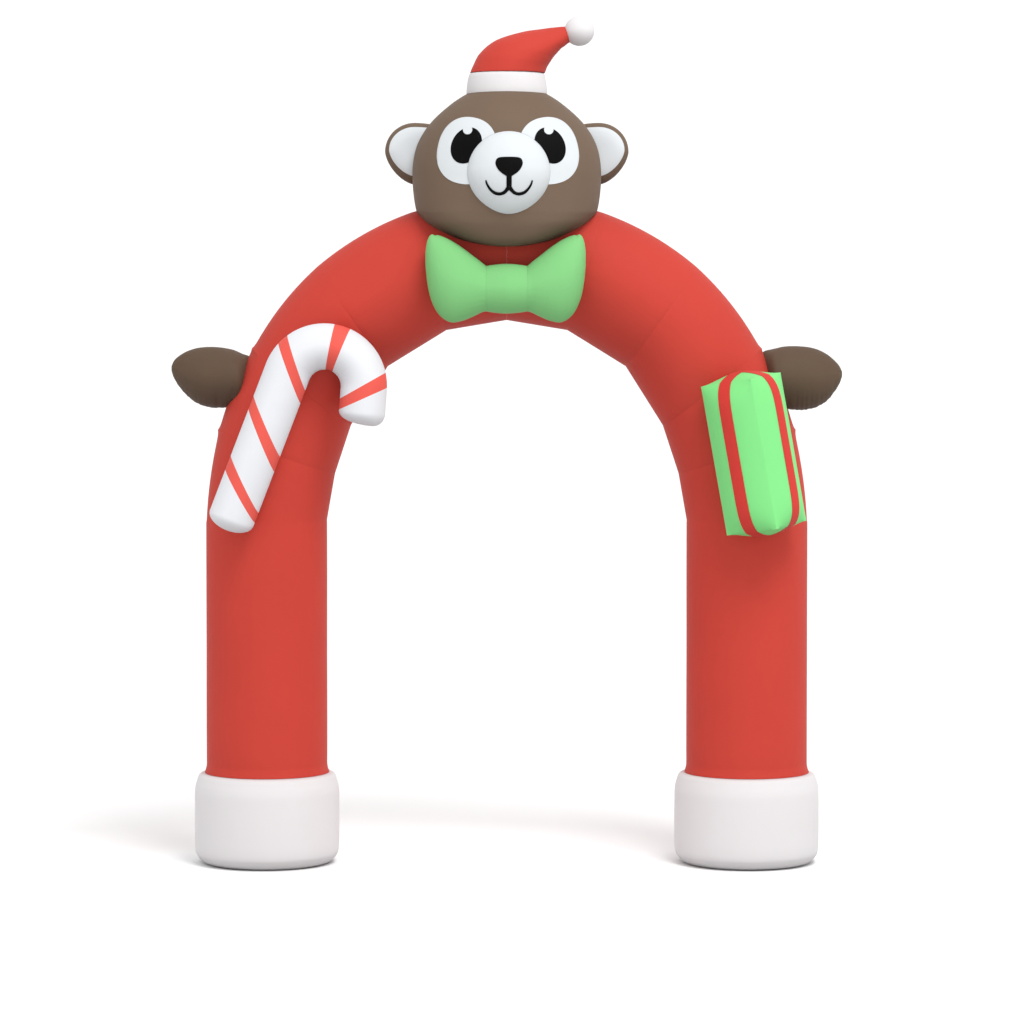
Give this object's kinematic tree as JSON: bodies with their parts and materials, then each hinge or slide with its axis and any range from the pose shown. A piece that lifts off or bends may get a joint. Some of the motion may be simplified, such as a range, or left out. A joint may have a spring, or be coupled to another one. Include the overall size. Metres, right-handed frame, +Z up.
{
  "type": "inflatable walk-through arch",
  "caption": "Free-standing inflated cloth arch on drum feet, with an animal head in a bent hat, bow tie, mitten arms, striped cane and gift box.",
  "frame": {"origin": "on the ground, under the middle of the whole object's box", "axes": "+Z up, +X across the arch towards the gift box, -Y out of the front, where the face looks"},
  "size_m": [3.012, 0.85, 3.8],
  "materials": {
    "arch_red": "matte satin coated polyester, red",
    "foot_white": "matte satin coated polyester, white",
    "head_brown": "matte satin coated polyester, brown",
    "arm_brown": "matte satin coated polyester, dark brown",
    "panel_white": "matte satin coated polyester, cool white",
    "face_black": "matte black polyester",
    "bow_green": "matte satin coated polyester, pale green",
    "gift_green": "matte satin coated polyester, light green",
    "ribbon_red": "matte satin polyester ribbon, red",
    "cane_white": "matte satin coated polyester, white with coral red stripes"
  },
  "bodies": {
    "root": {"arch_left_1": "arch_red", "arch_left_2": "arch_red", "arch_left_3": "arch_red", "arch_left_4": "arch_red", "arch_right_1": "arch_red", "arch_right_2": "arch_red", "arch_right_3": "arch_red", "arch_right_4": "arch_red", "leg_left": "arch_red", "leg_right": "arch_red", "foot_left": "foot_white", "foot_right": "foot_white", "head": "head_brown", "muzzle": "panel_white", "eye_patch_left": "panel_white", "eye_patch_right": "panel_white", "eye_left": "face_black", "eye_right": "face_black", "nose": "face_black", "mouth": "face_black", "ear_left": "head_brown", "ear_right": "head_brown", "ear_panel_left": "panel_white", "ear_panel_right": "panel_white", "hat_band": "foot_white", "hat_cone": "arch_red", "pompom": "foot_white", "bow_left": "bow_green", "bow_right": "bow_green", "bow_knot": "bow_green", "arm_left": "arm_brown", "arm_right": "arm_brown", "candy_cane": "cane_white", "gift_box": "gift_green", "gift_ribbon": "ribbon_red"}
  },
  "joints": []
}
